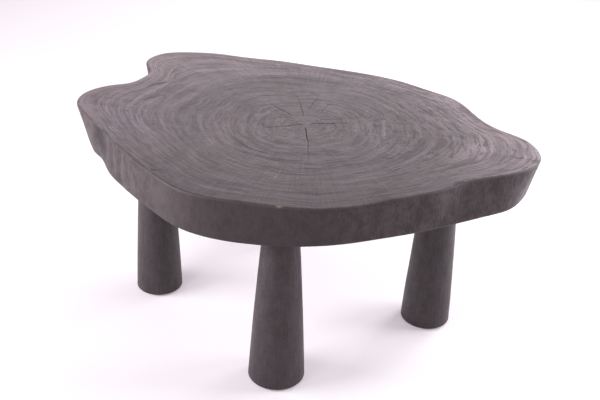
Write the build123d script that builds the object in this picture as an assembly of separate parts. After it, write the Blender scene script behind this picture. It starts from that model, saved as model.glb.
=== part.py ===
"""Low table: a live-edge slice of a tree trunk on four turned, tapered legs.

Millimetres, +Z up, +X along the slab's longest side. The origin is on the floor,
under the middle of the slab's bounding box. The slab's outline and the legs are
laid out from the pith, the centre of the tree's growth rings.
"""
from build123d import *
import math
import os

# ---- Slab -------------------------------------------------------------------
SLAB_THICKNESS = 82.0
RIM_ROUND = 5.0            # worn round along the upper edge
UNDERSIDE_ROUND = 4.0      # smaller round along the lower edge

# Live edge, anticlockwise from the pith: angle in degrees from +X, radius of the
# slab at its upper edge and radius at its lower edge.
LIVE_EDGE = [
    (-176, 455, 448), (-171, 435, 431), (-166, 420, 424), (-161, 409, 416),
    (-156, 400, 407), (-146, 392, 397), (-136, 391, 395), (-126, 396, 401),
    (-116, 390, 398), (-106, 378, 389), (-96, 377, 380), (-86, 379, 373),
    (-76, 374, 368), (-66, 368, 366), (-56, 371, 374), (-46, 383, 389),
    (-38, 391, 409), (-31, 419, 434), (-25, 455, 460), (-19, 487, 473),
    (-13, 500, 482), (-7, 492, 479), (-2, 471, 457), (3, 432, 421),
    (10, 405, 395), (20, 400, 389), (30, 401, 390), (40, 386, 375),
    (52, 380, 369), (64, 375, 364), (76, 374, 363), (88, 385, 374),
    (100, 416, 405), (110, 451, 440), (118, 502, 490), (125, 542, 528),
    (131, 566, 550), (135, 561, 545), (138, 547, 531), (140, 525, 510),
    (142, 496, 482), (144, 476, 464), (147, 468, 455), (151, 464, 451),
    (154, 469, 456), (157, 489, 474), (161, 513, 495), (167, 527, 505),
    (173, 514, 491), (178, 485, 472),
]

# ---- Legs -------------------------------------------------------------------
LEG_LENGTH = 336.0
LEG_FOOT_ROUND = 3.0
LEG_TOP_CHAMFER = 1.0
LEG_SWELL = 1.2            # how far the taper swells past a straight line half way up

# Axis from the pith, foot and top diameters. The legs are turned by hand, so each
# one differs by a few millimetres.
LEGS = {
    "front": {"x": -37.0, "y": -319.0, "foot": 117.0, "top": 72.0},
    "left": {"x": -326.0, "y": -9.0, "foot": 106.0, "top": 71.0},
    "right": {"x": 292.0, "y": -91.0, "foot": 110.0, "top": 73.0},
    "back": {"x": -42.0, "y": 267.0, "foot": 111.0, "top": 72.0},
}

# ---- Glides under the feet ----------------------------------------------------
GLIDE_DIAMETER = 70.0
GLIDE_THICKNESS = 3.0
GLIDE_EDGE_ROUND = 1.0
GLIDE_SCREW_SHANK = 3.5
GLIDE_SCREW_HEAD = 7.0
GLIDE_SCREW_LENGTH = 25.0
GLIDE_SCREW_SUNK = 0.8     # how far the head lies inside the glide's lower face

# ---- Steel plate let into the slab over each leg --------------------------------
PLATE_DIAMETER = 64.0
PLATE_THICKNESS = 4.0
BOSS_DIAMETER = 22.0
BOSS_HEIGHT = 14.0
PLATE_SCREW_COUNT = 4
PLATE_SCREW_CIRCLE = 46.0
PLATE_SCREW_SHANK = 4.5
PLATE_SCREW_HEAD = 8.5
PLATE_SCREW_LENGTH = 35.0

# ---- Hanger bolt: machine thread in the boss, wood thread in the leg ------------
BOLT_DIAMETER = 12.0
BOLT_IN_LEG = 75.0
BOLT_PAST_BOSS = 4.0
BOLT_CHAMFER = 1.0

# ---- Clearances -----------------------------------------------------------------
BORE_CLEARANCE = 0.2       # on the radius, for bolts and screws in their holes
POCKET_CLEARANCE = 0.5     # on the radius, for the plate and the boss in the slab
BORE_END_CLEARANCE = 0.5   # past the end of a bolt or a screw

DRILL_HALF_ANGLE = 59.0    # of the pointed end of a bore
DRIVE_WIDTH = 1.0          # arm of the cross recess in a screw's head
DRIVE_DEPTH = 1.4

# ---- Levels, from the floor up --------------------------------------------------
FOOT_LEVEL = GLIDE_THICKNESS
UNDERSIDE_LEVEL = FOOT_LEVEL + LEG_LENGTH
TOP_LEVEL = UNDERSIDE_LEVEL + SLAB_THICKNESS
PLATE_TOP_LEVEL = UNDERSIDE_LEVEL + PLATE_THICKNESS
BOSS_TOP_LEVEL = PLATE_TOP_LEVEL + BOSS_HEIGHT
BOLT_TOP_LEVEL = BOSS_TOP_LEVEL + BOLT_PAST_BOSS
BOLT_TIP_LEVEL = UNDERSIDE_LEVEL - BOLT_IN_LEG


def cylinder(radius, bottom, top):
    """A cylinder about the Z axis between two levels."""
    return Pos(0, 0, bottom) * Cylinder(radius, top - bottom, align=(Align.CENTER, Align.CENTER, Align.MIN))


def cone(bottom_radius, top_radius, bottom, top):
    """A cone about the Z axis between two levels."""
    align = (Align.CENTER, Align.CENTER, Align.MIN)
    return Pos(0, 0, bottom) * Cone(bottom_radius, top_radius, top - bottom, align=align)


def turned(profile):
    """A solid turned about the Z axis from a closed list of (radius, level) points."""
    outline = Polyline(*[(radius, 0, level) for radius, level in profile], close=True)
    return revolve(make_face(outline), Axis.Z)


def drill_point(radius):
    """Height of the cone that a drill of this radius leaves at the end of a bore."""
    return radius / math.tan(math.radians(DRILL_HALF_ANGLE))


def live_edge_wire(which, level):
    """The closed outline of the slab at its upper (1) or lower (2) edge."""
    points = []
    for row in LIVE_EDGE:
        angle = math.radians(row[0])
        points.append((row[which] * math.cos(angle), row[which] * math.sin(angle), level))
    return Wire([Edge.make_spline([Vector(*point) for point in points], periodic=True)])


def blank_slab():
    """The slab before it is bored: two live edges joined by the sawn log's side."""
    lower = live_edge_wire(2, UNDERSIDE_LEVEL)
    upper = live_edge_wire(1, TOP_LEVEL)
    slab = Solid.make_loft([lower, upper], ruled=True)
    slab = fillet(slab.edges().group_by(Axis.Z)[-1], RIM_ROUND)
    return fillet(slab.edges().group_by(Axis.Z)[0], UNDERSIDE_ROUND)


def plate_screw_places():
    """Places of one plate's screws on their circle, about the leg's axis."""
    return PolarLocations(PLATE_SCREW_CIRCLE / 2, PLATE_SCREW_COUNT, start_angle=45)


def screw(head_diameter, shank_diameter, length):
    """A countersunk wood screw, head at Z = 0 and tip up at Z = length."""
    head_radius = head_diameter / 2
    shank_radius = shank_diameter / 2
    head_height = head_radius - shank_radius
    body = turned([
        (0, 0), (head_radius, 0), (shank_radius, head_height),
        (shank_radius, length - shank_diameter), (0, length),
    ])
    arm = head_diameter * 0.55
    recess = Box(arm, DRIVE_WIDTH, 2 * DRIVE_DEPTH) + Box(DRIVE_WIDTH, arm, 2 * DRIVE_DEPTH)
    return body - recess


def screw_hole(head_diameter, shank_diameter, length, head_sunk):
    """The hole for such a screw: countersunk mouth at Z = 0, pilot bore above it."""
    head_radius = head_diameter / 2
    hole_radius = shank_diameter / 2 + BORE_CLEARANCE
    end = length + BORE_END_CLEARANCE
    hole = cylinder(hole_radius, 0, end)
    hole += cone(head_radius, shank_diameter / 2, 0, head_radius - shank_diameter / 2)
    if head_sunk > 0:
        hole += cylinder(head_radius, -head_sunk, 0)
    return hole


# ---- Pieces of one leg, about its own axis ---------------------------------------
def rims(body):
    """The closed round edges of a turned body, from the lowest up."""
    return body.edges().filter_by(lambda edge: edge.is_closed).sort_by(Axis.Z)


def leg(foot_diameter, top_diameter):
    """A turned leg with the hanger bolt's bore on top and the glide screw's pilot below."""
    foot_radius = foot_diameter / 2
    top_radius = top_diameter / 2
    shoulder_level = UNDERSIDE_LEVEL - LEG_TOP_CHAMFER
    half_way = ((foot_radius + top_radius) / 2 + LEG_SWELL, 0, (FOOT_LEVEL + shoulder_level) / 2)
    skin = ThreePointArc((foot_radius, 0, FOOT_LEVEL), half_way, (top_radius, 0, shoulder_level))
    core = Polyline(
        (top_radius, 0, shoulder_level), (top_radius - LEG_TOP_CHAMFER, 0, UNDERSIDE_LEVEL),
        (0, 0, UNDERSIDE_LEVEL), (0, 0, FOOT_LEVEL), (foot_radius, 0, FOOT_LEVEL))
    body = revolve(make_face(skin + core), Axis.Z)
    body = fillet(rims(body)[0], LEG_FOOT_ROUND)
    bore_radius = BOLT_DIAMETER / 2 + BORE_CLEARANCE
    shoulder = BOLT_TIP_LEVEL + BOLT_DIAMETER
    bore = cylinder(bore_radius, shoulder, UNDERSIDE_LEVEL)
    bore += cylinder(BOLT_DIAMETER / 4 + BORE_CLEARANCE, BOLT_TIP_LEVEL - BORE_END_CLEARANCE, shoulder)
    bore += cone(BOLT_DIAMETER / 4 + BORE_CLEARANCE, bore_radius, BOLT_TIP_LEVEL, shoulder)
    pilot = Pos(0, 0, GLIDE_SCREW_SUNK) * cylinder(
        GLIDE_SCREW_SHANK / 2 + BORE_CLEARANCE, 0, GLIDE_SCREW_LENGTH + BORE_END_CLEARANCE)
    return body - bore - pilot


def glide():
    """A low-friction disc under a foot, with a sunk hole for its screw."""
    disc = cylinder(GLIDE_DIAMETER / 2, 0, GLIDE_THICKNESS)
    disc = fillet(disc.edges().group_by(Axis.Z)[0], GLIDE_EDGE_ROUND)
    hole = screw_hole(GLIDE_SCREW_HEAD, GLIDE_SCREW_SHANK, GLIDE_SCREW_LENGTH, GLIDE_SCREW_SUNK)
    return disc - Pos(0, 0, GLIDE_SCREW_SUNK) * hole


def glide_screw():
    """The screw that holds a glide to its foot."""
    return Pos(0, 0, GLIDE_SCREW_SUNK) * screw(GLIDE_SCREW_HEAD, GLIDE_SCREW_SHANK, GLIDE_SCREW_LENGTH)


def mounting_plate():
    """A round steel plate with a tapped boss, countersunk for its screws."""
    plate = cylinder(PLATE_DIAMETER / 2, UNDERSIDE_LEVEL, PLATE_TOP_LEVEL)
    plate += cylinder(BOSS_DIAMETER / 2, PLATE_TOP_LEVEL, BOSS_TOP_LEVEL)
    plate -= cylinder(BOLT_DIAMETER / 2 + BORE_CLEARANCE, UNDERSIDE_LEVEL, BOSS_TOP_LEVEL)
    hole = screw_hole(PLATE_SCREW_HEAD, PLATE_SCREW_SHANK, PLATE_SCREW_LENGTH, 0)
    for place in plate_screw_places():
        plate -= Pos(0, 0, UNDERSIDE_LEVEL) * place * hole
    return plate


def plate_screws():
    """The screws of one mounting plate, as a group of separate solids."""
    one = screw(PLATE_SCREW_HEAD, PLATE_SCREW_SHANK, PLATE_SCREW_LENGTH)
    return Compound([Pos(0, 0, UNDERSIDE_LEVEL) * place * one.solid() for place in plate_screw_places()])


def hanger_bolt():
    """Machine thread above, wood thread with a blunt point below."""
    radius = BOLT_DIAMETER / 2
    return turned([
        (0, BOLT_TIP_LEVEL), (radius / 2, BOLT_TIP_LEVEL), (radius, BOLT_TIP_LEVEL + BOLT_DIAMETER),
        (radius, BOLT_TOP_LEVEL - BOLT_CHAMFER), (radius - BOLT_CHAMFER, BOLT_TOP_LEVEL),
        (0, BOLT_TOP_LEVEL),
    ])


def slab_pocket():
    """What is bored out of the slab over one leg: plate seat, boss bore, pilot holes."""
    boss_radius = BOSS_DIAMETER / 2 + POCKET_CLEARANCE
    bore_end = BOLT_TOP_LEVEL + BORE_END_CLEARANCE
    pocket = cylinder(PLATE_DIAMETER / 2 + POCKET_CLEARANCE, UNDERSIDE_LEVEL, PLATE_TOP_LEVEL)
    pocket += cylinder(boss_radius, PLATE_TOP_LEVEL, bore_end)
    pocket += cone(boss_radius, 0, bore_end, bore_end + drill_point(boss_radius))
    pilot = cylinder(PLATE_SCREW_SHANK / 2 + BORE_CLEARANCE, 0, PLATE_SCREW_LENGTH + BORE_END_CLEARANCE)
    for place in plate_screw_places():
        pocket += Pos(0, 0, UNDERSIDE_LEVEL) * place * pilot
    return pocket


# ---- Assembly --------------------------------------------------------------------
def build():
    """All nodes by name, laid out from the pith."""
    slab = blank_slab()
    nodes = {}
    for name, size in LEGS.items():
        place = Pos(size["x"], size["y"], 0)
        slab = slab - place * slab_pocket()
        nodes["leg_" + name] = place * leg(size["foot"], size["top"])
        nodes["hanger_bolt_" + name] = place * hanger_bolt()
        nodes["mounting_plate_" + name] = place * mounting_plate()
        nodes["plate_screws_" + name] = place * plate_screws()
        nodes["glide_" + name] = place * glide()
        nodes["glide_screw_" + name] = place * glide_screw()
    nodes["tabletop_slab"] = slab
    return nodes


def main():
    """Writes one STEP file per node, with the origin under the middle of the slab's box."""
    nodes = build()
    box = nodes["tabletop_slab"].bounding_box()
    to_origin = Pos(-(box.min.X + box.max.X) / 2, -(box.min.Y + box.max.Y) / 2, 0)
    os.makedirs("parts", exist_ok=True)
    for name, shape in nodes.items():
        export_step(to_origin * shape, os.path.join("parts", name + ".step"))
    print("pith at", to_origin.position, "slab", box.size)


main()
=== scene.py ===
"""Finishes a live-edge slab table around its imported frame: the carved and stained slab,
four turned legs, the steel fittings and the glides, on a plain pale floor."""

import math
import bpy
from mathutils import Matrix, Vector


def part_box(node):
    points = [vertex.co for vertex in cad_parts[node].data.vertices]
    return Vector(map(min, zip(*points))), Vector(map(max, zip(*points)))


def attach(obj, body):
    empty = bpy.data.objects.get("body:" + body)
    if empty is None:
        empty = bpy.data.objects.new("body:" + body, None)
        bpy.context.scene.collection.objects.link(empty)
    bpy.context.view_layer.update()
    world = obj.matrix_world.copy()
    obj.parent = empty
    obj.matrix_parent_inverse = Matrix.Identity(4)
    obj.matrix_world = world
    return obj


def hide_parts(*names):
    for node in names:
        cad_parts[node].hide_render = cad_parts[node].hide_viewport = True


bl_info = {
    "name": "Live-edge Slab Table",
    "version": (1, 0, 0),
    "blender": (4, 5, 0),
    "location": "3D View > Sidebar > Slab Table",
    "description": "Builds the finish of a charcoal-stained tree-slice table around its frame",
    "category": "Object",
}

import bpy
import numpy as np
from mathutils import Matrix, Vector
from mathutils.bvhtree import BVHTree

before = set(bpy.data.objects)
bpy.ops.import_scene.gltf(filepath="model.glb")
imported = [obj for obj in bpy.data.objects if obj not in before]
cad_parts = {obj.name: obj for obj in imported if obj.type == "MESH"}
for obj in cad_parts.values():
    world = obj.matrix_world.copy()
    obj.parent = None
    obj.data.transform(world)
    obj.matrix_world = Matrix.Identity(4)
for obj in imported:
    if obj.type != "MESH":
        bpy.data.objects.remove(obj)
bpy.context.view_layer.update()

LEG_NAMES = ("front", "left", "right", "back")
SLAB_LOW, SLAB_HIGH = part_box("tabletop_slab")
SLAB_MIDDLE = (SLAB_LOW + SLAB_HIGH) / 2

# The pith, the centre of the growth rings, from the middle of the slab's box.
PITH = SLAB_MIDDLE + Vector((0.0125, -0.0332, 0.0))
PITH_ON_FLOOR = Vector((PITH.x, PITH.y, 0.0))

MM = 0.001
TURN = 2 * math.pi
HAIR = 0.00005             # next to nothing: how far beside an edge a face is measured


# ---- Settings --------------------------------------------
class SlabTableTopSettings(bpy.types.PropertyGroup):
    """Sizes and colours of the slab."""

    spokes: bpy.props.IntProperty(
        name="Spokes", description="Divisions of the slab around the pith", default=640,
        min=64)
    rings: bpy.props.IntProperty(
        name="Rings", description="Divisions of the top from the pith to the rim", default=118,
        min=16)
    rim_round: bpy.props.FloatProperty(
        name="Rim Round", description="Radius of the worn upper edge", default=0.005,
        unit="LENGTH")
    underside_round: bpy.props.FloatProperty(
        name="Underside Round", description="Radius of the lower edge", default=0.004,
        unit="LENGTH")
    heart_radius: bpy.props.FloatProperty(
        name="Heart Radius", description="Mean radius that round rings would reach at the rim",
        default=0.385, unit="LENGTH")
    relief: bpy.props.FloatProperty(
        name="Relief", description="Depth that brushing leaves between growth rings",
        default=0.0004, unit="LENGTH")
    face_dark: bpy.props.FloatVectorProperty(
        name="Face Dark", description="Stain on the sawn face where it lies thick",
        subtype="COLOR", size=3, default=(0.021, 0.0135, 0.0165))
    face_light: bpy.props.FloatVectorProperty(
        name="Face Light", description="Stain on the sawn face where sanding thinned it",
        subtype="COLOR", size=3, default=(0.196, 0.163, 0.180))
    flank_dark: bpy.props.FloatVectorProperty(
        name="Flank Dark", description="Stain in the grain of the live edge", subtype="COLOR",
        size=3, default=(0.030, 0.021, 0.023))
    flank_light: bpy.props.FloatVectorProperty(
        name="Flank Light", description="Stain on the ridges of the live edge", subtype="COLOR",
        size=3, default=(0.075, 0.057, 0.060))
    worn_wood: bpy.props.FloatVectorProperty(
        name="Worn Wood", description="Wood that shows through along the rim", subtype="COLOR",
        size=3, default=(0.085, 0.058, 0.048))
    # Painted shade: the dark colour laid into the hollows of the live edge.
    hollow_painted_shade: bpy.props.FloatVectorProperty(
        name="Hollow Painted Shade", description="Painted shade in the hollows of the live edge",
        subtype="COLOR", size=3, default=(0.020, 0.011, 0.013))
    scratched: bpy.props.FloatVectorProperty(
        name="Scratched", description="Wood that shows in a scratch", subtype="COLOR", size=3,
        default=(0.34, 0.30, 0.31))
    chipped: bpy.props.FloatVectorProperty(
        name="Chipped", description="Bare wood in the chip", subtype="COLOR", size=3,
        default=(0.26, 0.19, 0.15))
    # Near-black colour laid into the drying cracks.
    crack_dark: bpy.props.FloatVectorProperty(
        name="Crack Dark", description="Near-black colour in the drying cracks", subtype="COLOR", size=3,
        default=(0.006, 0.005, 0.005))


class SlabTableLegSettings(bpy.types.PropertyGroup):
    """Sizes and colours of the turned legs."""

    spokes: bpy.props.IntProperty(
        name="Spokes", description="Divisions of a leg around its axis", default=180, min=24)
    steps: bpy.props.IntProperty(
        name="Steps", description="Divisions of a leg along its length", default=84, min=12)
    foot_round: bpy.props.FloatProperty(
        name="Foot Round", description="Radius of the foot's edge", default=0.003, unit="LENGTH")
    unevenness: bpy.props.FloatProperty(
        name="Unevenness", description="How far hand turning leaves a leg from true",
        default=0.0006, unit="LENGTH")
    dark_stain: bpy.props.FloatVectorProperty(
        name="Dark Stain", description="Stain in the open grain", subtype="COLOR", size=3,
        default=(0.026, 0.020, 0.022))
    light_stain: bpy.props.FloatVectorProperty(
        name="Light Stain", description="Stain on the hard grain", subtype="COLOR", size=3,
        default=(0.067, 0.051, 0.055))


class SlabTableFittingSettings(bpy.types.PropertyGroup):
    """Colours of the steel fittings and the glides."""

    zinc: bpy.props.FloatVectorProperty(
        name="Zinc", description="Bright zinc plate", subtype="COLOR", size=3,
        default=(0.55, 0.56, 0.57))
    nylon: bpy.props.FloatVectorProperty(
        name="Nylon", description="Black moulded nylon", subtype="COLOR", size=3,
        default=(0.018, 0.018, 0.020))
    scuffed: bpy.props.FloatVectorProperty(
        name="Scuffed", description="Nylon where the floor has rubbed it", subtype="COLOR", size=3,
        default=(0.05, 0.05, 0.052))


class SlabTableStageSettings(bpy.types.PropertyGroup):
    """The camera, the lamps and the floor."""

    camera_place: bpy.props.FloatVectorProperty(
        name="Camera Place", description="Where the camera stands, from the pith at floor level",
        subtype="TRANSLATION", size=3, default=(-0.0043, -1.7889, 1.1923))
    camera_pitch: bpy.props.FloatProperty(
        name="Camera Pitch", description="How far the camera looks down", subtype="ANGLE",
        default=math.radians(28.09))
    camera_roll: bpy.props.FloatProperty(
        name="Camera Roll", description="How far the camera leans over", subtype="ANGLE",
        default=math.radians(2.67))
    focal_length: bpy.props.FloatProperty(
        name="Focal Length", description="On a 36 mm wide sensor, in millimetres", default=54.0)
    ambient: bpy.props.FloatProperty(
        name="Ambient", description="Strength of the even light of the white room", default=0.18)
    key_power: bpy.props.FloatProperty(
        name="Key Lamp", description="Power of the high soft box at the front left", default=15.5)
    left_power: bpy.props.FloatProperty(
        name="Left Lamp", description="Power of the soft box at the left", default=63.0)
    right_power: bpy.props.FloatProperty(
        name="Right Lamp", description="Power of the soft box at the right", default=51.5)
    rim_power: bpy.props.FloatProperty(
        name="Rim Lamp", description="Power of the soft box behind at the right", default=55.9)
    back_power: bpy.props.FloatProperty(
        name="Back Lamp", description="Power of the long soft box behind", default=18.8)


# ---- Shader helpers --------------------------------------
class Shader:
    """A material and the nodes that are added to it."""

    def __init__(self, name):
        self.material = bpy.data.materials.new(name)
        self.material.use_nodes = True
        self.nodes = self.material.node_tree.nodes
        self.links = self.material.node_tree.links
        self.surface = self.nodes["Principled BSDF"]

    def put(self, socket, value):
        """Sets a socket, or links it where the value is another socket."""
        if isinstance(value, bpy.types.NodeSocket):
            self.links.new(value, socket)
        elif socket.type == "RGBA":
            socket.default_value = (*value, 1.0)
        else:
            socket.default_value = value

    def add(self, kind, inputs=None, **settings):
        """Adds a node with its settings and inputs, and returns it."""
        node = self.nodes.new(kind)
        for key, value in settings.items():
            setattr(node, key, value)
        for key, value in (inputs or {}).items():
            self.put(node.inputs[key], value)
        return node

    def object_place(self, scale):
        """Object coordinates, stretched."""
        place = self.add("ShaderNodeTexCoord").outputs["Object"]
        return self.add("ShaderNodeMapping", {"Vector": place, "Scale": scale}).outputs["Vector"]

    def amount(self, name):
        """A number that the mesh carries."""
        return self.add("ShaderNodeAttribute", attribute_name=name).outputs["Fac"]

    def plan(self, place):
        """The first two parts of a place."""
        parts = self.add("ShaderNodeSeparateXYZ", {"Vector": place}).outputs
        return parts["X"], parts["Y"]

    def noise(self, vector, detail, roughness):
        """Noise between 0 and 1."""
        return self.add("ShaderNodeTexNoise", {
            "Vector": vector, "Scale": 1.0, "Detail": detail,
            "Roughness": roughness}).outputs["Fac"]

    def solid_noise(self, flat, upright, detail, roughness):
        """Noise through the solid, by its scales over the plan and up."""
        return self.noise(self.object_place((flat, flat, upright)), detail, roughness)

    def ring_noise(self, around, outward, detail, roughness):
        """Noise along the growth rings, by its scales round the pith and away from it."""
        growth = self.add("ShaderNodeAttribute", attribute_name="growth").outputs["Vector"]
        stretched = self.add("ShaderNodeMapping", {
            "Vector": growth, "Scale": (around, around, outward)}).outputs["Vector"]
        return self.noise(stretched, detail, roughness)

    def math(self, operation, first, second=0.5, clamp=False):
        """One sum of two numbers."""
        node = self.add("ShaderNodeMath", operation=operation, use_clamp=clamp)
        self.put(node.inputs[0], first)
        self.put(node.inputs[1], second)
        return node.outputs["Value"]

    def span(self, value, low, high, to_low=0.0, to_high=1.0):
        """A number moved from one span to another, and held inside it."""
        return self.add("ShaderNodeMapRange", {
            "Value": value, "From Min": low, "From Max": high, "To Min": to_low,
            "To Max": to_high}).outputs["Result"]

    def blend(self, amount, first, second):
        """Two colours mixed."""
        node = self.add("ShaderNodeMix", data_type="RGBA")
        self.put(node.inputs[0], amount)
        self.put(node.inputs[6], first)
        self.put(node.inputs[7], second)
        return node.outputs[2]

    def mix(self, amount, first, second):
        """Two numbers mixed."""
        node = self.add("ShaderNodeMix", data_type="FLOAT")
        self.put(node.inputs[0], amount)
        self.put(node.inputs[2], first)
        self.put(node.inputs[3], second)
        return node.outputs[0]

    def times(self, product, *factors):
        """The product of numbers."""
        for factor in factors:
            product = self.math("MULTIPLY", product, factor)
        return product

    def total(self, *parts):
        """The sum of (value, weight) parts."""
        whole = self.times(*parts[0])
        for part in parts[1:]:
            whole = self.math("ADD", whole, self.times(*part))
        return whole

    def swing(self, value, strength):
        """How far a number lies from one half, made stronger."""
        return self.times(self.math("SUBTRACT", value, 0.5), strength)

    def vector(self, operation, first, second=None, scale=None, output="Vector"):
        """One sum of vectors."""
        node = self.add("ShaderNodeVectorMath", operation=operation)
        self.put(node.inputs[0], first)
        if second is not None:
            self.put(node.inputs[1], second)
        if scale is not None:
            self.put(node.inputs["Scale"], scale)
        return node.outputs[output]

    def line_gap(self, place, line, half, thin):
        """Distance from a line of points as a share of its half width, which narrows to thin."""
        nearest = None
        for index, (start, end) in enumerate(zip(line, line[1:])):
            step = end - start
            wide, narrow = (half * (1 - (1 - thin) * count / (len(line) - 1))
                            for count in (index, index + 1))
            away = self.vector("SUBTRACT", place, tuple(start))
            along = self.vector("DOT_PRODUCT", away, tuple(step / step.length_squared),
                                output="Value")
            along = self.math("MULTIPLY", along, 1.0, clamp=True)
            foot = self.vector("SCALE", tuple(step), scale=along)
            gap = self.vector("DISTANCE", away, foot, output="Value")
            gap = self.math("DIVIDE", gap, self.span(along, 0.0, 1.0, wide, narrow))
            nearest = gap if nearest is None else self.math("MINIMUM", nearest, gap)
        return nearest

    def bump(self, height, depth):
        """A bump of a real depth in metres."""
        return self.add("ShaderNodeBump", {
            "Height": height, "Strength": 1.0, "Distance": depth}).outputs["Normal"]

    def finish(self, **sockets):
        """Sets the surface's own sockets, and returns the material."""
        for key, value in sockets.items():
            self.put(self.surface.inputs[key.replace("_", " ")], value)
        return self.material


def dress(obj, material):
    """Gives the whole of an object one material."""
    obj.data.materials.clear()
    obj.data.materials.append(material)


# ---- Mesh helpers ----------------------------------------
def deselect():
    """Leaves nothing selected, in object mode."""
    if bpy.context.object and bpy.context.object.mode != "OBJECT":
        bpy.ops.object.mode_set(mode="OBJECT")
    bpy.ops.object.select_all(action="DESELECT")


def lathe(name, axis, profile, steps):
    """Extrudes a section point by point from (radius, level) pairs, and spins it shut."""
    deselect()
    bpy.ops.mesh.primitive_plane_add(size=0.01, location=(0, 0, 0))
    piece = bpy.context.object
    piece.name = name
    bpy.ops.object.mode_set(mode="EDIT")
    bpy.ops.mesh.select_all(action="SELECT")
    bpy.ops.mesh.merge(type="CENTER")
    corners = [Vector((axis.x + radius, axis.y, level)) for radius, level in profile]
    bpy.ops.transform.translate(value=corners[0])
    for here, there in zip(corners, corners[1:]):
        bpy.ops.mesh.extrude_region_move(TRANSFORM_OT_translate={"value": there - here})
    bpy.ops.mesh.select_all(action="SELECT")
    bpy.ops.mesh.spin(steps=steps, angle=TURN, center=(axis.x, axis.y, 0), axis=(0, 0, 1))
    bpy.ops.mesh.select_all(action="SELECT")
    bpy.ops.mesh.remove_doubles(threshold=0.00001)
    bpy.ops.mesh.normals_make_consistent(inside=False)
    bpy.ops.object.mode_set(mode="OBJECT")
    bpy.ops.object.shade_smooth()
    return piece


def corners_of(piece):
    """The places of a piece's vertices."""
    places = np.empty(len(piece.data.vertices) * 3)
    piece.data.vertices.foreach_get("co", places)
    return places.reshape(-1, 3)


def move_corners(piece, places):
    """Puts a piece's vertices at new places."""
    piece.data.vertices.foreach_set("co", places.ravel())
    piece.data.update()


def carry_vector(piece, name, values):
    """Stores a vector on each vertex, for the material."""
    attribute = piece.data.attributes.new(name, "FLOAT_VECTOR", "POINT")
    attribute.data.foreach_set("vector", np.ascontiguousarray(values, dtype=np.float32).ravel())


def carry_amount(piece, name, values):
    """Stores a number on each vertex, for the material."""
    attribute = piece.data.attributes.new(name, "FLOAT", "POINT")
    attribute.data.foreach_set("value", np.ascontiguousarray(values, dtype=np.float32))


def ease(low, high, value):
    """0 below low, 1 above high, and a smooth rise between."""
    share = np.clip((value - low) / (high - low), 0.0, 1.0)
    return share * share * (3 - 2 * share)


def lattice(cells, seed):
    """A steady chance value between -1 and 1 for each whole-numbered cell."""
    mixed = cells[:, 0] * 73856093 ^ cells[:, 1] * 19349663 ^ cells[:, 2] * 83492791
    mixed ^= seed * 2654435761
    mixed = (mixed ^ mixed >> 13) * 1274126177 & 0x7FFFFFFF
    return ((mixed ^ mixed >> 16) & 0xFFFF) / 32767.5 - 1.0


def rough(vectors, seed):
    """Smooth noise between -1 and 1 at each vector."""
    vectors = np.asarray(vectors, dtype=float)
    cells = np.floor(vectors).astype(np.int64)
    part = vectors - cells
    part = part ** 3 * (part * (part * 6 - 15) + 10)
    total = np.zeros(len(vectors))
    for corner in np.ndindex(2, 2, 2):
        weight = np.prod(np.where(corner, part, 1 - part), axis=1)
        total += weight * lattice(cells + corner, seed)
    return total


# ---- The slab --------------------------------------------
# Marks on the sawn face, in millimetres from the pith.
# Drying cracks: half width, depth, and the line they follow.
CRACKS = (
    (1.1, 4.0, ((0, -14), (4, -62), (7, -92), (6, -136))),
    (0.4, 0.8, ((6, -142), (7, -164), (6, -186))),
    (0.8, 3.0, ((0, 8), (-22, -2), (-53, -12), (-84, -25))),
    (0.4, 0.8, ((-84, -25), (-97, 0))),
    (0.8, 2.5, ((10, 12), (43, 13), (70, 20), (96, 23))),
    (0.6, 1.5, ((32, 36), (60, 36), (88, 50), (100, 48))),
    (1.0, 3.5, ((-6, 50), (-8, 76), (-13, 110), (-18, 150))),
    (0.6, 1.5, ((-20, 154), (-25, 166), (-32, 192))),
    (1.1, 2.5, ((8, 92), (15, 129), (26, 162))),
    (1.1, 2.5, ((33, 74), (41, 98), (49, 121), (62, 127))),
    (0.7, 2.0, ((-34, 56), (-57, 82), (-94, 128))),
    (1.2, 2.0, ((-292, -247), (-285, -252), (-276, -250))),
)

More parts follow.
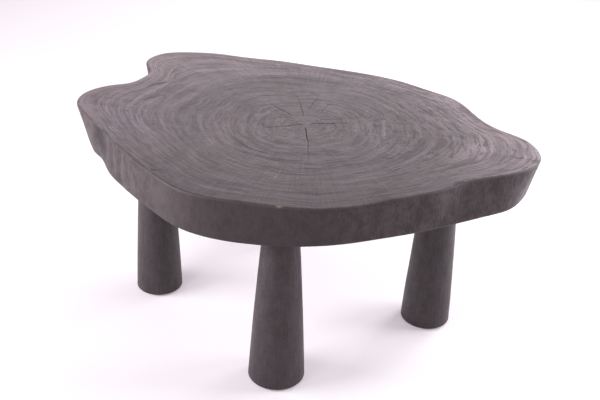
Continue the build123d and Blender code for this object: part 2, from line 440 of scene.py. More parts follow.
# Streaks where the stain lies dark in open rings: half width, darkness from 0 to 1, line.
STREAKS = (
    (7.0, 0.6, ((-58, 39), (-28, 36))),
    (4.0, 0.8, ((-122, 162), (-66, 161))),
    (6.0, 0.6, ((-47, 216), (-30, 214))),
    (9.0, 0.6, ((-9, 208), (29, 177))),
    (5.0, 0.8, ((137, 36), (159, 47), (178, 53))),
    (5.0, 1.0, ((188, 34), (222, 30))),
    (4.0, 0.8, ((143, 14), (184, 12))),
    (13.0, 0.5, ((180, -12), (216, -10))),
    (4.0, 0.7, ((158, -151), (180, -146))),
    (2.5, 0.6, ((30, -55), (67, -53))),
    (3.0, 0.7, ((-48, -142), (-33, -146), (10, -146))),
    (3.0, 0.6, ((-94, -198), (-64, -197))),
    (2.5, 0.7, ((88, 213), (132, 202), (160, 178), (182, 149), (203, 114))),
    (2.5, 0.8, ((145, 224), (184, 188), (211, 145), (229, 88), (237, 60))),
    (2.5, 0.7, ((227, 66), (239, 12), (227, -55))),
    (4.0, 0.7, ((-48, 291), (5, 277), (44, 269), (104, 260))),
    (4.0, 0.7, ((-69, 366), (4, 343))),
    (11.0, 0.9, ((-370, 190), (-352, 206), (-331, 222))),
    (5.0, 0.6, ((-395, 20), (-391, 58), (-373, 95), (-340, 130), (-314, 149), (-271, 178))),
    (4.0, 0.7, ((-330, 298), (-309, 327), (-281, 345), (-226, 363), (-168, 342), (-43, 351))),
    (6.0, 0.7, ((432, -120), (451, -115))),
    (5.0, 0.8, ((331, -12), (332, -46))),
    (3.0, 0.8, ((357, 51), (375, 9), (384, -42), (382, -68), (369, -99), (348, -130))),
    (3.0, 0.7, ((258, 206), (292, 182), (324, 145), (344, 108))),
    (3.0, 0.8, ((298, 119), (315, 80), (330, 20), (335, -33), (327, -74))),
    (3.5, 0.9, ((232, 110), (246, 71), (257, 22))),
    (3.0, 0.7, ((280, -35), (281, -69), (267, -114))),
    (3.0, 0.8, ((309, -31), (312, -68), (305, -101), (288, -137))),
    (3.0, 0.6, ((137, -244), (188, -219), (234, -195), (268, -166))),
    (2.0, 0.6, ((52, -225), (91, -226), (150, -213), (210, -191))),
    (2.0, 0.5, ((52, -280), (99, -276), (147, -262))),
    (2.0, 0.6, ((-122, -226), (-73, -247), (-5, -257))),
    (2.0, 0.5, ((-189, -151), (-145, -193), (-94, -219))),
    (2.0, 0.6, ((-228, -155), (-172, -209), (-121, -243))),
    (2.0, 0.5, ((-391, 93), (-387, 24), (-346, -59), (-295, -114))),
    (2.0, 0.5, ((-283, 59), (-286, -9), (-251, -79), (-201, -133))),
    (2.0, 0.5, ((-232, 42), (-234, -14), (-205, -74))),
    (2.5, 0.6, ((-226, 189), (-172, 249), (-110, 285))),
    (2.5, 0.6, ((-186, 137), (-133, 201), (-63, 230))),
    (2.5, 0.6, ((56, 307), (129, 275), (204, 232))),
    (2.5, 0.6, ((94, 334), (191, 297), (270, 227))),
)

# Pale scratches: half width, line.
SCRATCHES = (
    (2.2, ((171, 44), (167, -60))),
    (1.4, ((202, -14), (200, -36))),
    (1.2, ((-61, -280), (-45, -227))),
)

# A chip out of the rim where bare wood shows: angle in degrees, half length and depth in
# millimetres.
CHIP = (-96.4, 6.0, 2.6)

# Slanting hollows down the live edge at the left: angle at the rim in degrees, drift in degrees
# per millimetre down, half width and depth in millimetres, and the depths below the rim at
# which they start and end.
HOLLOWS = (
    (177.0, 0.04, 6.0, 3.0, 0.0, 16.0),
    (189.0, 0.02, 27.0, 7.5, 0.0, 77.0),
    (196.8, 0.02, 12.0, 3.0, 3.0, 88.0),
    (202.0, 0.03, 14.0, 2.0, 3.0, 90.0),
)

# Rings are circles near the pith. From the first share of the radius on they take the shape
# of the outline, rounded off by so many degrees, and from the second its sharper corners too.
FOLLOW_FROM = 0.36
CORNERS_FROM = 0.72
ROUNDED_BY = 11.0

# Steps round the rim, down the side, round the lower edge and across the underside.
RIM_STEPS, SIDE_STEPS, LOWER_STEPS, UNDERSIDE_STEPS = 5, 13, 3, 12

# How much wider than its line a mark is carved, in millimetres: cracks, then streaks.
CRACK_SPREAD, STREAK_SPREAD = 0.6, 1.5
CRACK_WANDER = 0.004       # how far the darkening in a crack strays, in metres
UNDERSIDE_STAIN = 0.45     # how far the underside's colour is that of the side


def line_distance(places, line):
    """Distance of each place in the plane from a line of points, and the share along it."""
    nearest = np.full(len(places), np.inf)
    share = np.zeros(len(places))
    for index, (start, end) in enumerate(zip(line, line[1:])):
        start, end = np.array(start) * MM, np.array(end) * MM
        step = end - start
        along = np.clip((places - start) @ step / (step @ step), 0.0, 1.0)
        gap = np.hypot(*(places - start - along[:, None] * step).T)
        closer = gap < nearest
        nearest = np.where(closer, gap, nearest)
        share = np.where(closer, (index + along) / (len(line) - 1), share)
    return nearest, share


def strokes(places, marks):
    """How strongly each place is touched by (half width, strength, line) marks, which narrow
    towards their ends and have a full core and a soft edge."""
    touched = np.zeros(len(places))
    for half, strength, line in marks:
        half = half * MM
        low = np.min(line, axis=0) * MM - 2 * half
        high = np.max(line, axis=0) * MM + 2 * half
        near = np.nonzero(np.all((places > low) & (places < high), axis=1))[0]
        gap, share = line_distance(places[near], line)
        taper = 0.35 + 0.65 * np.sin(np.pi * np.clip(share, 0.04, 0.96))
        shape = np.clip(1.3 - 1.3 * gap / (half * taper), 0.0, 1.0) * strength
        touched[near] = np.maximum(touched[near], shape)
    return touched


class LiveEdge:
    """The outer surface of the CAD slab, measured from the pith by level."""

    def __init__(self, spokes):
        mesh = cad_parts["tabletop_slab"].data
        corners = [vertex.co.copy() for vertex in mesh.vertices]
        faces = [tuple(face.vertices) for face in mesh.polygons]
        self.tree = BVHTree.FromPolygons(corners, faces)
        self.spokes = spokes
        self.reach = (SLAB_HIGH - SLAB_LOW).length

    def radii(self, level):
        """Distance from the pith to the surface along every spoke at one level."""
        found = np.empty(self.spokes)
        for spoke in range(self.spokes):
            angle = TURN * spoke / self.spokes
            outward = Vector((math.cos(angle), math.sin(angle), 0.0))
            start = Vector((PITH.x, PITH.y, level)) + outward * self.reach
            hit = self.tree.ray_cast(start, -outward)[0]
            found[spoke] = math.hypot(hit.x - PITH.x, hit.y - PITH.y)
        return found


def softened(radii, degrees):
    """Radii all the way round with their corners rounded off."""
    waves = np.fft.rfft(radii)
    order = np.arange(len(waves))
    return np.fft.irfft(waves * np.exp(-0.5 * (order * math.radians(degrees)) ** 2), len(radii))


def arc_levels(from_angle, to_angle, count):
    """Angles in degrees, evenly spaced, without the first one."""
    return [from_angle + (to_angle - from_angle) * step / count for step in range(1, count + 1)]


def slab_sections(top):
    """Levels of the slab's side, from the rim down."""
    levels = [SLAB_HIGH.z - top.rim_round * (1 - math.cos(math.radians(turn)))
              for turn in arc_levels(0, 90, RIM_STEPS)]
    upper = SLAB_HIGH.z - top.rim_round
    lower = SLAB_LOW.z + top.underside_round
    levels += [upper + (lower - upper) * step / SIDE_STEPS for step in range(1, SIDE_STEPS + 1)]
    levels += [SLAB_LOW.z + top.underside_round * (1 - math.cos(math.radians(turn)))
               for turn in arc_levels(90, 0, LOWER_STEPS)[:-1]]
    return levels


def plan_noise(flat, scale, seed):
    """Smooth noise between -1 and 1 over the plan."""
    return rough(np.column_stack([flat * scale, np.zeros(len(flat))]), seed)


def grown(flat, angle, share, top):
    """Growth coordinates: a circle for the way round, and the ring's own radius, which
    wanders a little as a tree grows, and more round a curl at the back left."""
    wander = 0.0050 * plan_noise(flat, 9.0, 5) + 0.0018 * plan_noise(flat, 34.0, 6)
    curl = np.exp(-(((flat[:, 0] + 0.15) / 0.10) ** 2 + ((flat[:, 1] - 0.08) / 0.08) ** 2))
    wander += 0.0060 * curl * plan_noise(flat, 22.0, 7)
    ring = share * top.heart_radius + wander * ease(0.02, 0.2, share)
    return np.column_stack([np.cos(angle), np.sin(angle), ring])


def face_marks(flat, growth):
    """How strongly the sawn face is cracked, streaked and scratched."""
    ways = growth * (0.5, 0.5, 110.0)
    bent = flat + 0.0012 * np.column_stack([rough(ways, 8), rough(ways, 9)])
    crack = strokes(bent, [(half + CRACK_SPREAD, 0.6 * deep, line)
                           for half, deep, line in CRACKS])
    streak = strokes(bent, [(half + STREAK_SPREAD, dark, line) for half, dark, line in STREAKS])
    broken = 0.85 + 0.5 * rough(growth * (12.0, 12.0, 110.0), 10)
    scratch = strokes(flat, [(half, 1.0, line) for half, line in SCRATCHES])
    return crack, streak * np.clip(broken, 0.3, 1.0), scratch


def side_hollows(angle, depth, placed):
    """How deep the side is cut by its hollows and its waviness, and where painted shade darkens
    the hollows, beside their middles. A hollow sets in over 6 mm, and one 6 mm deep takes the full
    painted shade beside its middle."""
    cut = np.zeros(len(placed))
    stained = np.zeros(len(placed))
    for turn, drift, half, deep, start, end in HOLLOWS:
        middle = np.radians(turn + drift * depth / MM)
        away = ((angle - middle + math.pi) % TURN - math.pi) * placed / (half * MM)
        reach = ease(start * MM, (start + 6) * MM, depth)
        reach *= 1 - ease(0.5 * end * MM, end * MM, depth)
        cut += deep * MM * np.exp(-(away ** 2)) * reach
        # Painted shade in the hollow, set beside its middle on its shaded side.
        stained += deep / 6 * reach * np.exp(-((away + 0.7) ** 2))
    ways = np.column_stack([np.cos(angle) * 9, np.sin(angle) * 9, depth * 6])
    cut += 0.00035 * (1 + rough(ways, 4)) * ease(0.0, 0.02, depth)
    return cut, stained


def rim_chip(angle, depth, placed, share):
    """How strongly the rim is chipped."""
    turn, half, deep = CHIP
    along = np.abs((angle - math.radians(turn)) * placed)
    chip = np.clip(1.4 - along / (half * MM) - depth / (deep * MM), 0.0, 1.0)
    return chip * ((share > 0.995) & (depth < 0.006))


def shape_slab(piece, top):
    """Moves the lathe's even disc onto the live edge, and carves its relief."""
    edge = LiveEdge(top.spokes)
    places = corners_of(piece)
    out = places[:, :2] - np.array(PITH[:2])
    angle = np.arctan2(out[:, 1], out[:, 0])
    spoke = np.rint(angle / TURN * top.spokes).astype(int) % top.spokes
    share = np.clip(np.hypot(out[:, 0], out[:, 1]) / top.heart_radius, 0.0, 1.0)
    level = places[:, 2]
    depth = SLAB_HIGH.z - level

    on_top = level > SLAB_HIGH.z - HAIR / 2
    on_bottom = level < SLAB_LOW.z + HAIR / 2
    side = ~on_top & ~on_bottom

    # The flat faces end where the CAD's round edges start.
    flat_edge = edge.radii(SLAB_HIGH.z - HAIR) - math.sqrt(2 * top.rim_round * HAIR)
    under_edge = edge.radii(SLAB_LOW.z + HAIR) - math.sqrt(2 * top.underside_round * HAIR)

    follow = ease(FOLLOW_FROM, 1.0, share)
    corner = ease(CORNERS_FROM, 1.0, share)
    rim = flat_edge[spoke] * corner + softened(flat_edge, ROUNDED_BY)[spoke] * (1 - corner)
    rim = np.where(on_bottom, under_edge[spoke], rim)
    placed = share * (top.heart_radius * (1 - follow) + rim * follow)
    for one in np.unique(np.round(level[side], 7)):
        at = side & (np.abs(level - one) < HAIR / 20)
        placed[at] = edge.radii(one)[spoke[at]]
    flat = np.column_stack([placed * np.cos(angle), placed * np.sin(angle)])
    growth = grown(flat, angle, share, top)

    # Brushed relief between the rings, only ever cut into the flat.
    broad = rough(growth * (1.6, 1.6, 70.0), 1)
    fine = rough(growth * (3.2, 3.2, 150.0), 2)
    wave = np.clip(0.5 + 0.45 * broad + 0.35 * fine, 0.0, 1.0)
    brushed = top.relief * (1 - wave) * ease(1.0, 0.985, share) * on_top

    crack, streak, scratch = np.zeros((3, len(places)))
    crack[on_top], streak[on_top], scratch[on_top] = face_marks(flat[on_top], growth[on_top])
    cut, hollow = side_hollows(angle, depth, placed)
    chip = rim_chip(angle, depth, placed, share)
    placed = np.where(side | (on_bottom & (share > 0.9)), placed - cut, placed)

    places[:, 0] = PITH.x + placed * np.cos(angle)
    places[:, 1] = PITH.y + placed * np.sin(angle)
    places[:, 2] = level - brushed - MM * (crack + 0.4 * streak + 1.2 * chip)
    move_corners(piece, places)

    carry_vector(piece, "growth", growth)
    below = np.where(on_bottom, UNDERSIDE_STAIN, ease(0.0004, 0.0028, depth))
    carry_amount(piece, "side", np.where(on_top, 0.0, below))
    carry_amount(piece, "rim", np.exp(-((depth - 0.0012) / 0.0010) ** 2))
    # The hollow amount is painted shade in the hollows of the side.
    for name, values in (("hollow", hollow), ("streak", streak), ("scratch", scratch),
                         ("chip", chip)):
        carry_amount(piece, name, values)


def sawn_face(shade, top, place, pores):
    """Colour, tone and height of the sawn faces."""
    across, along = shade.plan(place)

    # Broad bands, single rings, rays across them, cloudy wear and the saw's fine grain.
    bands = shade.ring_noise(1.2, 30.0, 2.0, 0.5)
    rings = shade.ring_noise(1.5, 110.0, 4.0, 0.9)
    rays = shade.ring_noise(75.0, 16.0, 3.0, 0.6)
    clouds = shade.solid_noise(9.0, 9.0, 4.0, 0.6)
    sawn = shade.solid_noise(430.0, 430.0, 2.0, 0.7)
    tone = shade.total((bands, 0.07), (rings, 0.40), (rays, 0.13), (clouds, 0.12), (sawn, 0.28))

    # The grain stands open at the right, where the trunk grew fast.
    coarse = shade.span(across, 0.10, 0.26)
    contrast = shade.times(shade.span(across, -0.30, -0.10, 1.3, 1.6),
                           shade.span(coarse, 0, 1, 1.0, 1.05))
    tone = shade.span(shade.swing(tone, contrast), -0.13, 0.13)
    colour = shade.blend(tone, top.face_dark, top.face_light)

    # Dark pores along some of the rings, and short dashes of them.
    dashes = shade.ring_noise(9.0, 150.0, 2.0, 0.6)
    broken = shade.times(shade.span(dashes, 0.56, 0.65), shade.span(coarse, 0, 1, 0.35, 1.0))
    opened = shade.times(shade.span(pores, 0.54, 0.64), 0.42)
    opened = shade.math("MAXIMUM", opened, broken)

    # Thin lines of late wood, one for each crossing of a slow noise, which fade in and out.
    years = shade.ring_noise(1.7, 62.0, 3.0, 0.6)
    years = shade.math("ABSOLUTE", shade.math("SUBTRACT", years, 0.5))
    lasting = shade.ring_noise(5.0, 40.0, 2.0, 0.5)
    years = shade.times(shade.span(years, 0.0, 0.05, 1.0, 0.0),
                        shade.span(lasting, 0.42, 0.6), shade.span(coarse, 0, 1, 0.7, 1.0))
    opened = shade.math("MAXIMUM", opened, years)
    colour = shade.blend(opened, colour, top.face_dark)

    # Painted sheen: the face's colour is scaled up towards the lobes at the back and right, most
    # at the right and the back right, and down towards the front.
    flat = shade.vector("MULTIPLY", place, (1.0, 1.0, 0.0))
    reach = shade.vector("DISTANCE", flat, tuple(PITH_ON_FLOOR), output="Value")
    sheen_reach = shade.times(shade.span(reach, 0.26, 0.47), shade.span(along, -0.32, -0.12))
    sheen_peak = shade.span(across, 0.0, 0.3, 2.05, 2.4)
    back_right_sheen = shade.span(shade.math("ADD", across, along), 0.24, 0.48, 1.0, 1.18)
    painted_sheen = shade.times(shade.span(sheen_reach, 0.0, 1.0, 1.0, sheen_peak),
                        shade.span(along, -0.34, -0.14, 0.70, 1.0), back_right_sheen)
    colour = shade.vector("SCALE", colour, scale=painted_sheen)

    # Its hue leans cool and warm in turn.
    cool, warm = (0.985, 0.995, 1.015), (1.015, 1.0, 0.965)
    warmth = shade.span(shade.solid_noise(13.0, 13.0, 3.0, 0.6), 0.38, 0.62)
    colour = shade.vector("MULTIPLY", colour, shade.blend(warmth, cool, warm))
    return colour, tone, shade.total((rings, 0.6), (rays, 0.3), (opened, -0.3))


def live_side(shade, top, place):
    """Colour, tone and height of the sides: long grain, calm at the front and mottled towards
    both ends."""
    across = shade.plan(place)[0]
    grain = shade.solid_noise(320.0, 95.0, 4.0, 0.7)
    stains = shade.solid_noise(44.0, 32.0, 5.0, 0.7)
    mottled = shade.math("MAXIMUM", shade.span(across, 0.04, 0.20),
                         shade.span(across, -0.24, -0.36))
    tone = shade.total((grain, 0.42), (stains, 0.58))
    tone = shade.swing(tone, shade.span(mottled, 0, 1, 0.9, 2.5))
    tone = shade.span(tone, -0.16, 0.18)
    colour = shade.blend(tone, top.flank_dark, top.flank_light)
    # Painted shade darkens the hollows of the live edge.
    hollow_shade_amount = shade.math("MULTIPLY", shade.amount("hollow"), 0.85, clamp=True)
    return shade.blend(hollow_shade_amount, colour, top.hollow_painted_shade), tone, grain


def crack_darkening(shade, place):
    """Where the drying cracks are darkened, over the plan."""
    wobble = shade.add("ShaderNodeTexNoise", {
        "Vector": place, "Scale": 70.0, "Detail": 3.0}).outputs["Color"]
    place = shade.vector("ADD", place, shade.vector("SCALE", wobble, scale=CRACK_WANDER))
    place = shade.vector("MULTIPLY", place, (1.0, 1.0, 0.0))
    middle = CRACK_WANDER / 2
    nearest = None
    for half, _, line in CRACKS:
        points = [Vector((PITH.x + x * MM + middle, PITH.y + y * MM + middle, 0.0))
                  for x, y in line]
        gap = shade.line_gap(place, points, half * MM, 0.4)
        nearest = gap if nearest is None else shade.math("MINIMUM", nearest, gap)
    return shade.span(nearest, 0.7, 1.4, 1.0, 0.0)


def slab_finish(top):
    """Charcoal stain brushed into open growth rings."""
    shade = Shader("charcoal_stained_slab")
    side = shade.amount("side")
    place = shade.object_place((1.0, 1.0, 1.0))
    pores = shade.ring_noise(2.2, 95.0, 4.0, 0.65)
    face_colour, face_tone, face_height = sawn_face(shade, top, place, pores)
    side_colour, side_tone, side_height = live_side(shade, top, place)
    colour = shade.blend(side, face_colour, side_colour)

    # Dense stain in the open rings, and pale scratches through it.
    streak = shade.math("ADD", shade.amount("streak"), shade.swing(pores, 1.5))
    streak = shade.times(shade.span(streak, 0.34, 0.58), 0.85)
    colour = shade.blend(streak, colour, [0.8 * part for part in top.face_dark])
    colour = shade.blend(shade.times(shade.amount("scratch"), 0.6), colour, top.scratched)

    # Wood showing along the rim, in broken stretches, and in the chip.
    patches = shade.span(shade.solid_noise(9.0, 9.0, 3.0, 0.6), 0.30, 0.52)
    worn = shade.times(shade.amount("rim"), patches, 0.85)
    colour = shade.blend(worn, colour, top.worn_wood)
    colour = shade.blend(shade.amount("chip"), colour, top.chipped)

    # Darker in the drying cracks, on the sawn faces.
    darkened = shade.times(crack_darkening(shade, place), shade.math("SUBTRACT", 1.0, side))
    colour = shade.blend(darkened, colour, top.crack_dark)

    roughness = shade.span(shade.mix(side, face_tone, side_tone), 0.0, 1.0, 0.52, 0.42)
    roughness = shade.mix(shade.amount("rim"), roughness, 0.8)
    height = shade.mix(side, face_height, side_height)
    return shade.finish(Base_Color=colour, Roughness=roughness, IOR=1.45,
                        Normal=shade.bump(height, 0.00020))


class SLABTABLE_OT_carve_slab(bpy.types.Operator):
    """Carve the tree slice from the frame's slab: live edge, rings, cracks and flutes"""

    bl_idname = "slab_table.carve_slab"
    bl_label = "Carve Slab"

    def execute(self, context):
        top = context.scene.slab_table_top
        heart = top.heart_radius
        profile = [(heart * step / top.rings, SLAB_HIGH.z) for step in range(top.rings + 1)]
        profile += [(heart, level) for level in slab_sections(top)]
        profile += [(heart * step / UNDERSIDE_STEPS, SLAB_LOW.z)
                    for step in range(UNDERSIDE_STEPS, -1, -1)]
        slab = lathe("carved_slab", PITH, profile, top.spokes)
        shape_slab(slab, top)
        dress(slab, slab_finish(top))
        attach(slab, "root")
        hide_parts("tabletop_slab")
        return {"FINISHED"}


# ---- The legs --------------------------------------------
THREAD_GAP = 0.0002        # between a hanger bolt and its bore
BOLT_POINT = 0.012         # the length of a hanger bolt's point
PILOT = 0.00195            # radius of the glide screw's pilot hole
END_GAP = 0.0005           # how far a hole runs on past its bolt or screw
TOP_BEVEL = 0.001
CORE = 0.03                # radius inside which a leg has no turned face


def leg_profile(name, settings):
    """Section of one leg, from its own CAD node: bore, top, taper, foot and pilot hole."""
    low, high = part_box("leg_" + name)
    bolt_low, bolt_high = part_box("hanger_bolt_" + name)
    screw_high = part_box("glide_screw_" + name)[1]
    bore = (bolt_high.x - bolt_low.x) / 2 + THREAD_GAP
    foot_round = settings.foot_round
    radius_at = leg_taper(name)
    upper = high.z - TOP_BEVEL
    lower = low.z + foot_round
    profile = [(0.0, bolt_low.z - END_GAP), (bore / 2, bolt_low.z),
               (bore, bolt_low.z + BOLT_POINT), (bore, high.z),
               (radius_at(upper) - TOP_BEVEL, high.z), (radius_at(upper), upper)]
    for step in range(1, settings.steps + 1):
        level = upper + (lower - upper) * step / settings.steps
        profile.append((radius_at(level), level))
    for turn in (22.5, 45.0, 67.5):
        level = lower - foot_round * math.sin(math.radians(turn))
        profile.append((radius_at(level), level))
    foot = radius_at(lower) - foot_round
    end = screw_high.z + END_GAP
    profile += [(foot, low.z), (foot * 0.55, low.z), (PILOT, low.z), (PILOT, end), (0.0, end)]
    return profile


def leg_taper(name):
    """A leg's radius at a level, measured on its CAD node."""
    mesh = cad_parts["leg_" + name].data
    tree = BVHTree.FromPolygons([vertex.co.copy() for vertex in mesh.vertices],
                                [tuple(face.vertices) for face in mesh.polygons])
    low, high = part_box("leg_" + name)
    middle = (low + high) / 2

    def radius_at(level):
        hit = tree.ray_cast(Vector((high.x + 0.1, middle.y, level)), Vector((-1.0, 0.0, 0.0)))[0]
        return hit.x - middle.x

    return radius_at


def shape_leg(piece, centre, low, high, settings, seed):
    """Leaves a leg slightly out of true, as turning by hand does."""
    places = corners_of(piece)
    out = places[:, :2] - np.array(centre[:2])
    radius = np.hypot(out[:, 0], out[:, 1])
    angle = np.arctan2(out[:, 1], out[:, 0])
    level = places[:, 2]
    skin = (radius > CORE) & (level > low.z + 2 * HAIR) & (level < high.z - 2 * HAIR)
    ways = np.column_stack([np.cos(angle), np.sin(angle), (level - low.z) * 14])
    slow = rough(ways * (0.7, 0.7, 1.0), seed)
    grain = rough(ways * (14.0, 14.0, 0.6), seed + 9)
    cut = settings.unevenness * (0.5 + 0.5 * slow) + 0.00025 * (0.5 + 0.5 * grain)
    scale = np.where(skin, (radius - cut) / np.maximum(radius, 1e-6), 1.0)
    places[:, 0] = centre.x + out[:, 0] * scale
    places[:, 1] = centre.y + out[:, 1] * scale
    move_corners(piece, places)


def leg_finish(settings):
    """Charcoal stain over straight long grain."""
    shade = Shader("charcoal_stained_leg")
    streaks = shade.solid_noise(230.0, 14.0, 4.0, 0.65)
    mottle = shade.solid_noise(45.0, 26.0, 4.0, 0.6)
    speckle = shade.solid_noise(260.0, 170.0, 2.0, 0.6)
    tone = shade.span(shade.total((streaks, 0.32), (mottle, 0.33), (speckle, 0.35)), 0.38, 0.64)
    colour = shade.blend(tone, settings.dark_stain, settings.light_stain)
    roughness = shade.span(tone, 0.0, 1.0, 0.50, 0.40)
    return shade.finish(Base_Color=colour, Roughness=roughness, IOR=1.5,
                        Normal=shade.bump(streaks, 0.00015))


class SLABTABLE_OT_turn_legs(bpy.types.Operator):
    """Turn the four tapered legs where the frame holds them"""

    bl_idname = "slab_table.turn_legs"
    bl_label = "Turn Legs"

    def execute(self, context):
        settings = context.scene.slab_table_legs
        finish = leg_finish(settings)
        for seed, name in enumerate(LEG_NAMES, start=11):
            low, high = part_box("leg_" + name)
            centre = (low + high) / 2
            leg = lathe("turned_leg_" + name, centre, leg_profile(name, settings), settings.spokes)
            shape_leg(leg, centre, low, high, settings, seed)
            bpy.ops.object.shade_smooth_by_angle(angle=math.radians(35))
            dress(leg, finish)
            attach(leg, "root")
            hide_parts("leg_" + name)
        return {"FINISHED"}


# ---- Fittings --------------------------------------------
def zinc_finish(settings):
    """Bright zinc with a fine turned grain."""
    shade = Shader("bright_zinc")
    cloud = shade.solid_noise(160.0, 160.0, 3.0, 0.5)
    scratch = shade.solid_noise(900.0, 2600.0, 2.0, 0.5)
    dull = [0.72 * part for part in settings.zinc]
    colour = shade.blend(shade.span(cloud, 0.35, 0.7), dull, settings.zinc)
    roughness = shade.span(scratch, 0.3, 0.7, 0.26, 0.44)
    return shade.finish(Base_Color=colour, Metallic=1.0, Roughness=roughness,
                        Normal=shade.bump(scratch, 0.00003))


def nylon_finish(settings):
    """Black moulded nylon with a fine spark-eroded texture."""
    shade = Shader("black_nylon")
    texture = shade.solid_noise(1400.0, 1400.0, 2.0, 0.5)
    scuff = shade.solid_noise(60.0, 60.0, 4.0, 0.6)
    colour = shade.blend(shade.span(scuff, 0.5, 0.8), settings.nylon, settings.scuffed)
    return shade.finish(Base_Color=colour, Roughness=shade.span(scuff, 0.3, 0.7, 0.42, 0.6),
                        Normal=shade.bump(texture, 0.00004))


class SLABTABLE_OT_finish_fittings(bpy.types.Operator):
    """Give the steel fittings and the glides their finish"""

    bl_idname = "slab_table.finish_fittings"
    bl_label = "Finish Fittings"

    def execute(self, context):
        settings = context.scene.slab_table_fittings
        zinc = zinc_finish(settings)
        nylon = nylon_finish(settings)
        for name in LEG_NAMES:
            for stem in ("hanger_bolt_", "mounting_plate_", "plate_screws_", "glide_screw_"):
                dress(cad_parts[stem + name], zinc)
            dress(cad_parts["glide_" + name], nylon)
        return {"FINISHED"}


# ---- The stage -------------------------------------------
# Tints of the lamps, of the room as light and as a backdrop, and of the floor and its glow.
LAMP_TINT = (1.0, 0.95, 0.99)
ROOM_TINT = (1.0, 0.97, 1.0, 1.0)
BACKDROP_TINT = (1.0, 0.94, 1.0, 1.0)
FLOOR_TINT = (0.90, 0.87, 0.895)
GLOW_TINT = (1.0, 0.95, 1.0)
AIM = Vector((0.0, 0.0, 0.38))   # what the lamps point at: the middle of the table's top


def floor_finish():
    """Pale paper floor: bright to the camera, and still dimmed by shadow."""
    shade = Shader("pale_floor")
    light = shade.add("ShaderNodeLightPath")
    glow = shade.add("ShaderNodeEmission", {"Color": GLOW_TINT, "Strength": 0.22})
    shade.finish(Base_Color=FLOOR_TINT, Roughness=0.9)
    both = shade.add("ShaderNodeAddShader")
    shade.links.new(shade.surface.outputs[0], both.inputs[0])
    shade.links.new(glow.outputs[0], both.inputs[1])
    pick = shade.add("ShaderNodeMixShader")
    shade.links.new(light.outputs["Is Camera Ray"], pick.inputs[0])
    shade.links.new(shade.surface.outputs[0], pick.inputs[1])
    shade.links.new(both.outputs[0], pick.inputs[2])
    shade.links.new(pick.outputs[0], shade.nodes["Material Output"].inputs["Surface"])
    return shade.material


def room_light(settings):
    """White room: plain for the camera and for gloss, dimmer as light."""
    world = bpy.data.worlds.new("white_room")
    bpy.context.scene.world = world
    world.use_nodes = True
    nodes, links = world.node_tree.nodes, world.node_tree.links
    nodes.clear()
    rays = nodes.new("ShaderNodeLightPath")
    most = rays.outputs["Is Camera Ray"]
    for name in ("Is Glossy Ray", "Is Transmission Ray"):
        either = nodes.new("ShaderNodeMath")
        either.operation = "MAXIMUM"
        links.new(most, either.inputs[0])
        links.new(rays.outputs[name], either.inputs[1])
        most = either.outputs[0]
    lit = nodes.new("ShaderNodeBackground")
    lit.inputs["Color"].default_value = ROOM_TINT
    lit.inputs["Strength"].default_value = settings.ambient
    seen = nodes.new("ShaderNodeBackground")
    seen.inputs["Color"].default_value = BACKDROP_TINT
    seen.inputs["Strength"].default_value = 1.0
    pick = nodes.new("ShaderNodeMixShader")
    links.new(most, pick.inputs[0])
    links.new(lit.outputs[0], pick.inputs[1])
    links.new(seen.outputs[0], pick.inputs[2])
    out = nodes.new("ShaderNodeOutputWorld")
    links.new(pick.outputs[0], out.inputs["Surface"])


def lamp(name, place, width, height, power):
    """A soft box that points at the table."""
    deselect()
    bpy.ops.object.light_add(type="AREA", location=place)
    light = bpy.context.object
    light.name = name
    light.data.shape = "RECTANGLE"
    light.data.size = width
    light.data.size_y = height
    light.data.energy = power
    light.data.color = LAMP_TINT
    light.rotation_euler = (AIM - Vector(place)).to_track_quat("-Z", "Y").to_euler()


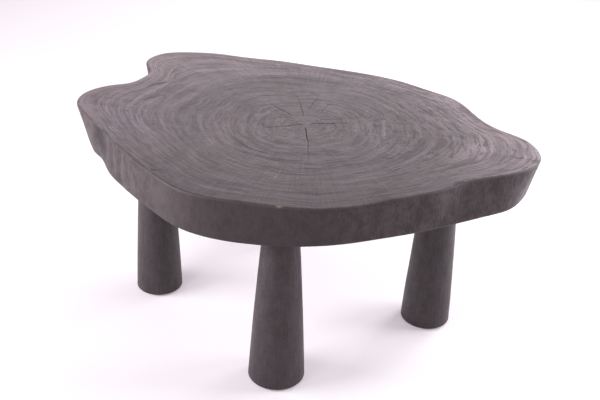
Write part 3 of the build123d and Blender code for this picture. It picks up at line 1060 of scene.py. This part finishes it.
class SLABTABLE_OT_set_stage(bpy.types.Operator):
    """Set the floor, the lamps and the camera"""

    bl_idname = "slab_table.set_stage"
    bl_label = "Set Stage"

    def execute(self, context):
        settings = context.scene.slab_table_stage
        deselect()
        bpy.ops.mesh.primitive_plane_add(size=24.0, location=(0, 0, 0))
        floor = context.object
        floor.name = "studio_floor"
        dress(floor, floor_finish())
        room_light(settings)
        lamp("key_box", (-1.45, -1.88, 2.4), 0.9, 0.9, settings.key_power)
        lamp("left_box", (-2.35, -0.55, 1.1), 1.6, 1.4, settings.left_power)
        lamp("right_box", (2.4, 0.28, 1.1), 1.4, 1.4, settings.right_power)
        lamp("rim_box", (2.0, 1.8, 1.3), 1.2, 1.2, settings.rim_power)
        lamp("back_box", (0.0, 3.0, 1.2), 3.6, 0.8, settings.back_power)

        deselect()
        place = PITH_ON_FLOOR + Vector(settings.camera_place)
        bpy.ops.object.camera_add(location=place)
        camera = context.object
        camera.name = "camera"
        look = Matrix.Rotation(math.pi / 2 - settings.camera_pitch, 4, "X")
        lean = Matrix.Rotation(settings.camera_roll, 4, "Z")
        camera.matrix_world = Matrix.Translation(place) @ look @ lean
        camera.data.lens = settings.focal_length
        camera.data.sensor_width = 36.0
        camera.data.clip_end = 60.0
        context.scene.camera = camera
        context.scene.view_settings.view_transform = "Standard"
        return {"FINISHED"}


# ---- Panel and registration ------------------------------
STEPS = (SLABTABLE_OT_carve_slab, SLABTABLE_OT_turn_legs, SLABTABLE_OT_finish_fittings,
         SLABTABLE_OT_set_stage)


class SLABTABLE_PT_panel(bpy.types.Panel):
    """Lists the steps and settings of the table"""

    bl_idname = "SLABTABLE_PT_panel"
    bl_label = "Slab Table"
    bl_space_type = "VIEW_3D"
    bl_region_type = "UI"
    bl_category = "Slab Table"

    def draw(self, context):
        for step in STEPS:
            self.layout.operator(step.bl_idname)
        for group in SETTINGS:
            settings = getattr(context.scene, group)
            box = self.layout.box()
            for name in settings.bl_rna.properties.keys():
                if name not in ("rna_type", "name"):
                    box.prop(settings, name)


SETTINGS = {
    "slab_table_top": SlabTableTopSettings,
    "slab_table_legs": SlabTableLegSettings,
    "slab_table_fittings": SlabTableFittingSettings,
    "slab_table_stage": SlabTableStageSettings,
}


def register():
    for name, group in SETTINGS.items():
        bpy.utils.register_class(group)
        setattr(bpy.types.Scene, name, bpy.props.PointerProperty(type=group))
    for step in STEPS:
        bpy.utils.register_class(step)
    bpy.utils.register_class(SLABTABLE_PT_panel)


def unregister():
    bpy.utils.unregister_class(SLABTABLE_PT_panel)
    for step in reversed(STEPS):
        bpy.utils.unregister_class(step)
    for name, group in reversed(list(SETTINGS.items())):
        delattr(bpy.types.Scene, name)
        bpy.utils.unregister_class(group)


def main():
    """Builds the whole table."""
    register()
    bpy.ops.slab_table.carve_slab()
    bpy.ops.slab_table.turn_legs()
    bpy.ops.slab_table.finish_fittings()
    bpy.ops.slab_table.set_stage()


if __name__ == "__main__":
    main()
